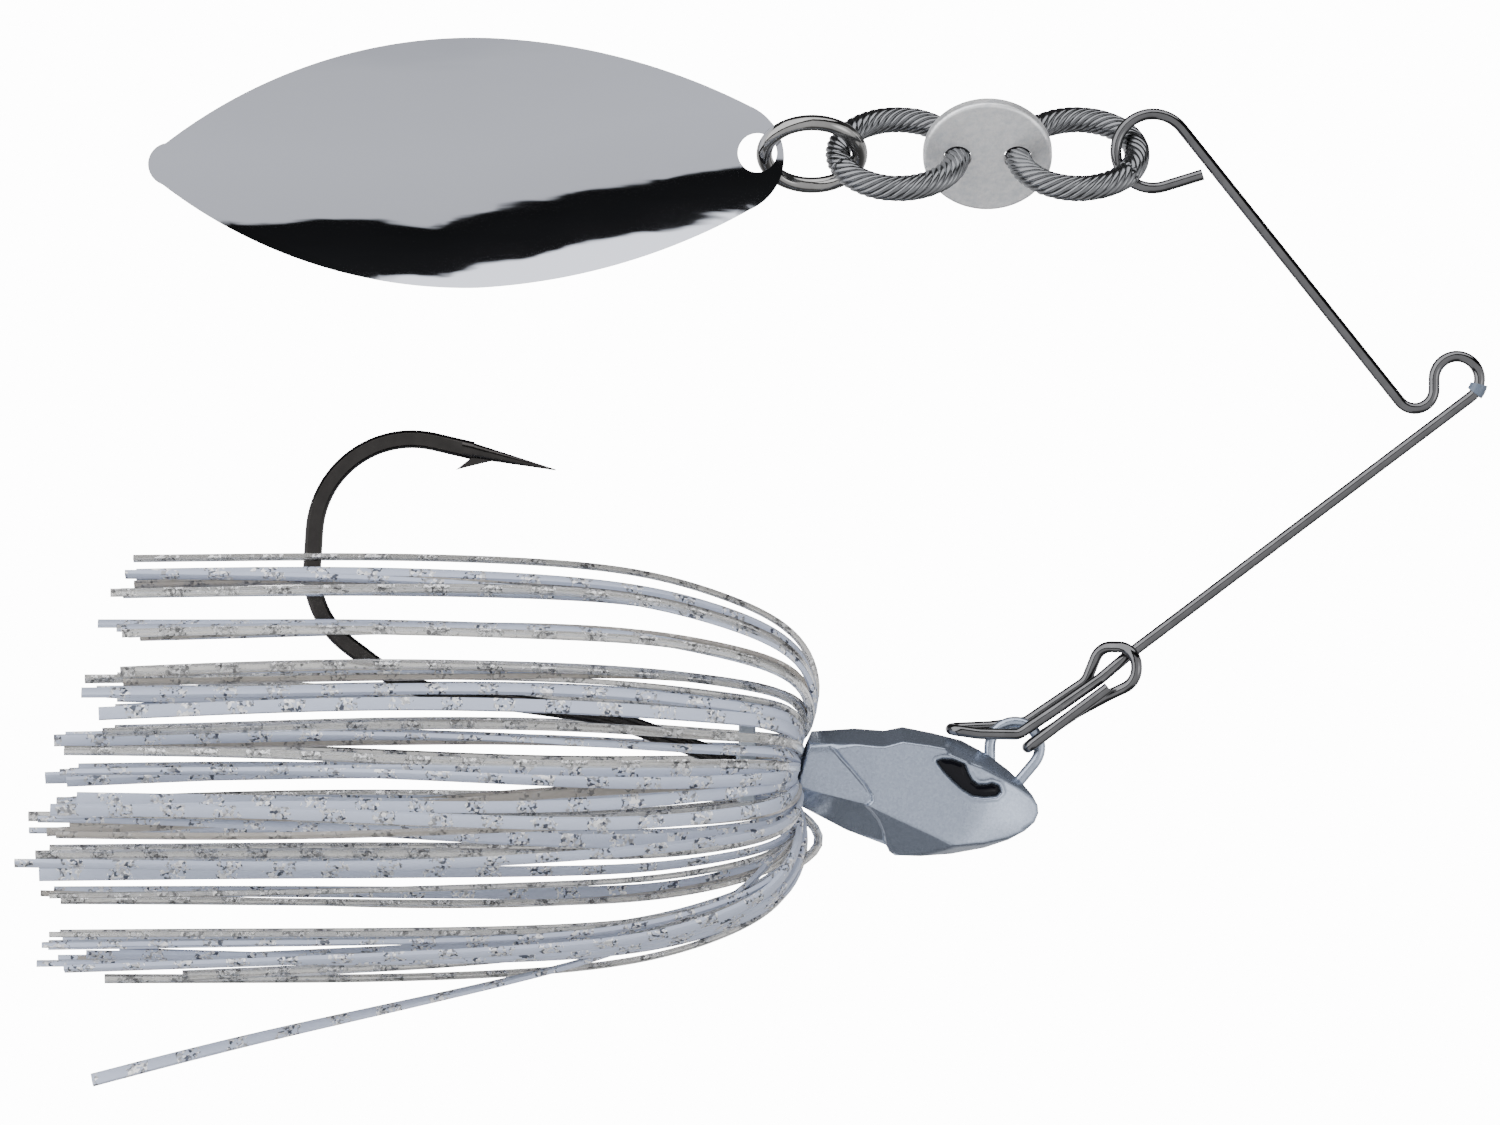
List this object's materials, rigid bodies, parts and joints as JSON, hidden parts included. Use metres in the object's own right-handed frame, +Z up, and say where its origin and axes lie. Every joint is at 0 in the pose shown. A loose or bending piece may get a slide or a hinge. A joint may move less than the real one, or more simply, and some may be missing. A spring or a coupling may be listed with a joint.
{
  "type": "spinnerbait",
  "caption": "Spinnerbait with a willow-leaf blade on a chain of twisted rings, a bent wire arm with a self-latching clip, a painted faceted head, a hook and a silicone skirt",
  "frame": {"origin": "centre of the line tie, the round loop at the front of the wire arm", "axes": "+X forward, the way the lure is pulled; +Z up, from the head to the blade; +Y across, to the lure's left"},
  "size_m": [0.1287, 0.041, 0.0924],
  "materials": {
    "stainless_wire": "drawn stainless wire, slightly glossy",
    "band_blue": "small blue-grey heat-shrunk sleeve",
    "link_steel": "twisted stainless strands",
    "disc_steel": "tumbled grey metal, fine satin grain",
    "ring_steel": "polished stainless wire",
    "blade_chrome": "mirror plating with faint ripples",
    "head_paint": "metallic blue-grey lacquer over a lead casting",
    "ring_paint": "steel wire ring with a coat of the head's lacquer",
    "eye_black": "gloss black",
    "hook_steel": "dark gunmetal plating",
    "band_rubber": "elastic silicone band",
    "pearl_silicone": "pale blue-white silicone with silver glitter patches",
    "clear_silicone": "clear silicone with silver flakes",
    "smoke_silicone": "smoky taupe translucent silicone"
  },
  "bodies": {
    "arm": {"wire_arm": "stainless_wire", "line_tie_band": "band_blue"},
    "bait": {"head": "head_paint", "head_ring": "ring_paint", "hook": "hook_steel", "eye_left": "eye_black", "eye_right": "eye_black", "skirt_band": "band_rubber", "skirt_pearl": "pearl_silicone", "skirt_clear": "clear_silicone", "skirt_smoke": "smoke_silicone", "skirt_stray": "pearl_silicone"},
    "front_link": {"link_front": "link_steel"},
    "disc": {"chain_disc": "disc_steel"},
    "rear_link": {"link_rear": "link_steel"},
    "ring": {"jump_ring": "ring_steel"},
    "spinner": {"blade": "blade_chrome"}
  },
  "joints": [
    {"name": "head_pitch", "type": "hinge", "parent": "arm", "child": "bait", "pos_m": [-0.03775, 0, -0.0324], "axis": [0, -1, 0], "range_deg": [0, 55]},
    {"name": "front_link_swing", "type": "hinge", "parent": "arm", "child": "front_link", "pos_m": [-0.02675, 0, 0.02006], "axis": [0, 1, 0], "range_deg": [-3, 40]},
    {"name": "disc_swing", "type": "hinge", "parent": "front_link", "child": "disc", "pos_m": [-0.03865, 0, 0.0198], "axis": [0, 0.7986, 0.6018], "range_deg": [-2, 25]},
    {"name": "rear_link_swing", "type": "hinge", "parent": "disc", "child": "rear_link", "pos_m": [-0.04395, 0, 0.0198], "axis": [0, 0.7986, 0.6018], "range_deg": [-2, 25]},
    {"name": "ring_swing", "type": "hinge", "parent": "rear_link", "child": "ring", "pos_m": [-0.05445, 0, 0.0198], "axis": [0, 0.7986, 0.6018], "range_deg": [-2, 25]},
    {"name": "blade_swing", "type": "hinge", "parent": "ring", "child": "spinner", "pos_m": [-0.06095, 0, 0.0198], "axis": [0, 0.7771, -0.6293], "range_deg": [-8, 15]}
  ]
}
